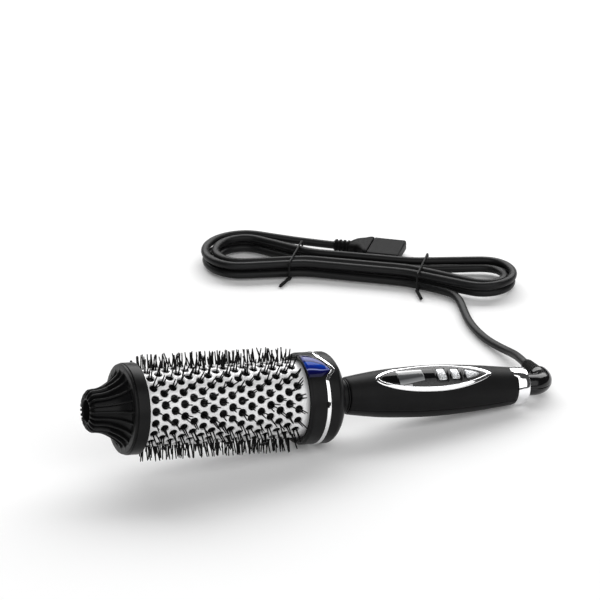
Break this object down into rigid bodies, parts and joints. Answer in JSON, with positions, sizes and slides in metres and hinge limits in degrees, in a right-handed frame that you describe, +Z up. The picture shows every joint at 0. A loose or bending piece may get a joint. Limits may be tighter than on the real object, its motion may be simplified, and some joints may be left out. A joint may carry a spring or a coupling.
{
  "type": "heated round barrel brush",
  "caption": "Heated round barrel brush with bristles through a perforated metal barrel, a finned cool tip, a grip with display and keys, and a swivel cord with plug.",
  "frame": {"origin": "on the floor, under the middle of the brush's own length and width, without its cord", "axes": "+X from the cool tip to the cord end, +Y away from the viewer towards the coiled cord, +Z up; the brush lies on its rearmost bristles and its end ring, as in the picture"},
  "size_m": [0.339, 0.3052, 0.0697],
  "materials": {
    "satin_black": "satin moulded",
    "heat_plastic": "matt moulded",
    "coated_metal": "pale silver coating",
    "aluminium": "as drawn",
    "steel": "plain",
    "ceramic": "matt",
    "chrome": "bright plating",
    "blue_lens": "clear deep blue",
    "lamp": "clear",
    "soft_touch": "soft-touch coating",
    "black_nylon": "nylon",
    "dark_panel": "dark grey gloss",
    "smoked_window": "smoked clear",
    "display_grey": "blank grey display",
    "board_green": "lacquered board",
    "silver_key": "silver, finely ribbed",
    "switch_black": "moulded",
    "gloss_black": "gloss",
    "relief_rubber": "diamond knurl",
    "cord_black": "satin sheath",
    "tie_black": "coated wire",
    "nickel": "nickel plated"
  },
  "bodies": {
    "brush": {"cool_tip": "satin_black", "tip_screw": "steel", "barrel": "coated_metal", "heater_tube": "aluminium", "heater_shoe_upper": "aluminium", "heater_shoe_lower": "aluminium", "ptc_heater": "ceramic", "thermal_fuse": "steel", "thermistor": "ceramic", "front_plate": "heat_plastic", "heater_stem": "heat_plastic", "collar_front": "satin_black", "collar_rear": "satin_black", "trim_ring": "chrome", "indicator_lens": "blue_lens", "indicator_lamp": "lamp", "neck_ring": "satin_black", "handle_upper": "soft_touch", "handle_lower": "soft_touch", "panel_bezel": "chrome", "panel_plate": "dark_panel", "display_window": "smoked_window", "display_module": "display_grey", "circuit_board": "board_green", "key_switch_1": "switch_black", "key_switch_2": "switch_black", "key_switch_3": "switch_black", "end_ring": "chrome", "swivel_bush": "heat_plastic", "bristle_strip_01": "black_nylon", "bristle_strip_02": "black_nylon", "bristle_strip_03": "black_nylon", "bristle_strip_04": "black_nylon", "bristle_strip_05": "black_nylon", "bristle_strip_06": "black_nylon", "bristle_strip_07": "black_nylon", "bristle_strip_08": "black_nylon", "bristle_strip_09": "black_nylon", "bristle_strip_10": "black_nylon"},
    "cord": {"swivel_elbow": "gloss_black", "swivel_clip": "steel", "strain_relief": "relief_rubber", "cord_lead": "cord_black", "cord_hank": "cord_black", "cord_tail": "cord_black", "cord_tie_front": "tie_black", "cord_tie_rear": "tie_black", "plug_body": "satin_black", "plug_cover": "satin_black", "plug_pin_left": "nickel", "plug_pin_right": "nickel"},
    "key_down": {"key_down": "silver_key"},
    "key_up": {"key_up": "silver_key"},
    "key_power": {"key_power": "silver_key"}
  },
  "joints": [
    {"name": "cord_swivel", "type": "hinge", "parent": "brush", "child": "cord", "pos_m": [0.12429, 0, 0.01092], "axis": [0.9926, 0, -0.1215], "continuous": true},
    {"name": "key_down_press", "type": "slide", "parent": "brush", "child": "key_down", "axis": [-0.1092, 0.4384, -0.8921], "range_m": [0, 0.0008], "stiffness_N_per_m": 900},
    {"name": "key_up_press", "type": "slide", "parent": "brush", "child": "key_up", "axis": [-0.1092, 0.4384, -0.8921], "range_m": [0, 0.0008], "stiffness_N_per_m": 900},
    {"name": "key_power_press", "type": "slide", "parent": "brush", "child": "key_power", "axis": [-0.1092, 0.4384, -0.8921], "range_m": [0, 0.0008], "stiffness_N_per_m": 900}
  ]
}
